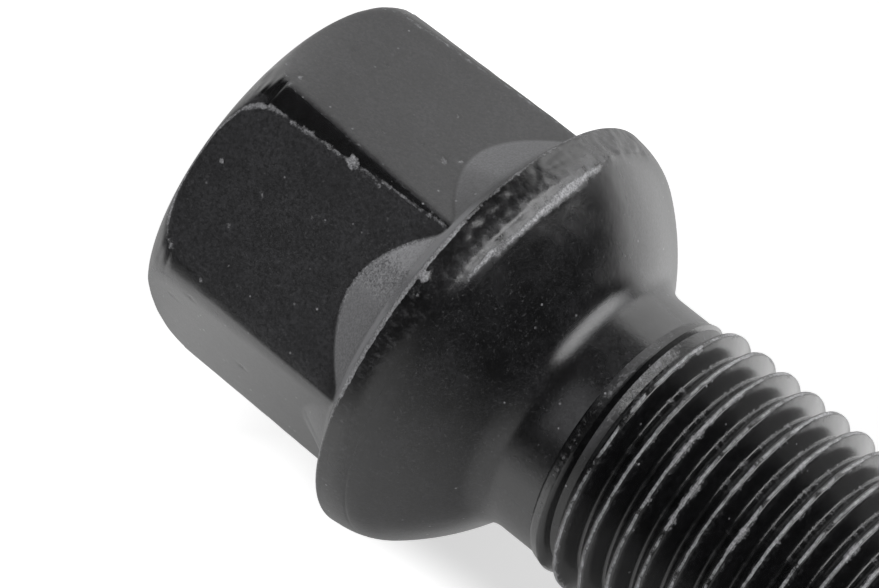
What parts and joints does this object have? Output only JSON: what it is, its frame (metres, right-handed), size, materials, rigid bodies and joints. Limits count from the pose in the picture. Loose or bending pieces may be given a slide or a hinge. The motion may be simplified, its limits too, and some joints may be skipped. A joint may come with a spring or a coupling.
{
  "type": "wheel bolt",
  "caption": "Black wheel bolt with a domed hexagon head, a round collar with a ball seat, a plain neck and a coarse metric thread.",
  "frame": {"origin": "centre of the head's flat top face, on the bolt's axis", "axes": "+Z along the bolt's axis from the head to the thread's tip, +X square to one of the hexagon's flats"},
  "size_m": [0.0222, 0.0222, 0.0453],
  "materials": {
    "coated_steel": "thin satin black coating over steel, worn to bare grey along the thread crests and the rim"
  },
  "bodies": {
    "root": {"wheel_bolt": "coated_steel"}
  },
  "joints": []
}
